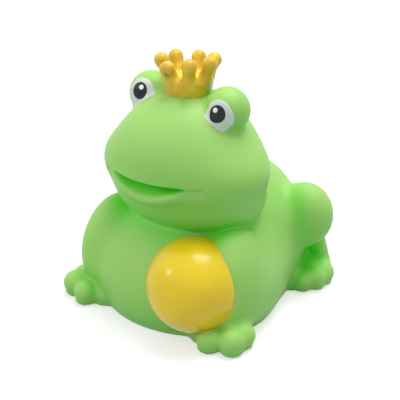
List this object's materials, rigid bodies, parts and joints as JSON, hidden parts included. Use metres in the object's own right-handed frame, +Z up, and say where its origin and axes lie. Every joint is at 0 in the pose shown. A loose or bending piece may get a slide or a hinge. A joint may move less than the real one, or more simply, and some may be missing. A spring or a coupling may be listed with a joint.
{
  "type": "squeaky bath toy",
  "caption": "Hollow soft vinyl frog sitting with a crown on its head and a ball under its left arm, with a reed squeaker pressed into its flat base.",
  "frame": {"origin": "middle of the flat base, on the axis of the squeaker's hole", "axes": "+Z up, -Y the way the face looks, +X the frog's left side"},
  "size_m": [0.0722, 0.0821, 0.0831],
  "materials": {
    "green_vinyl": "satin soft vinyl, coloured through",
    "gold_paint": "satin gold-yellow paint on soft vinyl",
    "yellow_paint": "glossy yellow paint on soft vinyl",
    "white_paint": "satin white paint",
    "black_paint": "satin blue-black paint",
    "squeaker_plastic": "moulded hard plastic, off-white",
    "reed_film": "thin springy plastic strip"
  },
  "bodies": {
    "toy": {"vinyl_skin": "green_vinyl", "ball": "yellow_paint", "left_eye_white": "white_paint", "left_pupil": "black_paint", "left_glint": "white_paint", "right_eye_white": "white_paint", "right_pupil": "black_paint", "right_glint": "white_paint", "squeaker_housing": "squeaker_plastic", "reed_block": "squeaker_plastic", "reed_wedge": "squeaker_plastic", "squeaker_cap": "squeaker_plastic"},
    "crown": {"crown": "gold_paint"},
    "reed": {"reed": "reed_film"}
  },
  "joints": [
    {"name": "squeeze", "type": "slide", "parent": "toy", "child": "crown", "axis": [0, 0, -1], "range_m": [0, 0.0084], "stiffness_N_per_m": 1200, "deforming": ["vinyl_skin", "left_eye_white", "left_pupil", "left_glint", "right_eye_white", "right_pupil", "right_glint"]},
    {"name": "reed_flex", "type": "hinge", "parent": "toy", "child": "reed", "pos_m": [0, 0, 0.0045], "axis": [1, 0, 0], "range_deg": [-0.5, 3], "stiffness_Nm_per_rad": 0.0004}
  ]
}
